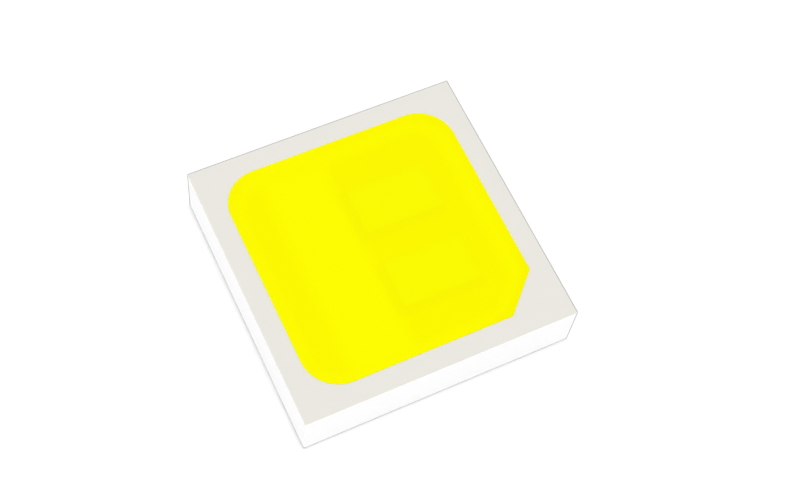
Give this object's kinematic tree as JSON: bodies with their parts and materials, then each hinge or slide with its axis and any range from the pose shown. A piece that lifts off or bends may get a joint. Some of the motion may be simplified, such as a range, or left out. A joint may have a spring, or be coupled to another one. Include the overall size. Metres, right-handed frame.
{
  "type": "surface-mount light-emitting diode",
  "caption": "Square surface-mount light-emitting diode: white reflector cup with a chamfered corner, yellow phosphor fill, blue dice wired between stepped leads, solder pads beneath.",
  "frame": {"origin": "centre of the solder side, on the plane of the solder pads", "axes": "+Z out of the light face, +X towards the large (negative) lead's side, the polarity chamfer at +X -Y"},
  "size_m": [0.003, 0.003, 0.0007],
  "materials": {
    "white_moulding": "fine matt white, moulded",
    "plated_lead": "silver-plated copper alloy, satin",
    "die_glue": "clear adhesive",
    "sapphire": "polished crystal",
    "gold": "bright gold",
    "phosphor": "matt yellow silicone filled with phosphor grains"
  },
  "bodies": {
    "root": {"housing": "white_moulding", "small_lead": "plated_lead", "large_lead": "plated_lead", "glue_back": "die_glue", "glue_front": "die_glue", "die_back": "sapphire", "die_front": "sapphire", "positive_contact_back": "gold", "positive_contact_front": "gold", "negative_contact_back": "gold", "negative_contact_front": "gold", "positive_wire_back": "gold", "positive_wire_front": "gold", "negative_wire_back": "gold", "negative_wire_front": "gold", "phosphor_fill": "phosphor"}
  },
  "joints": []
}
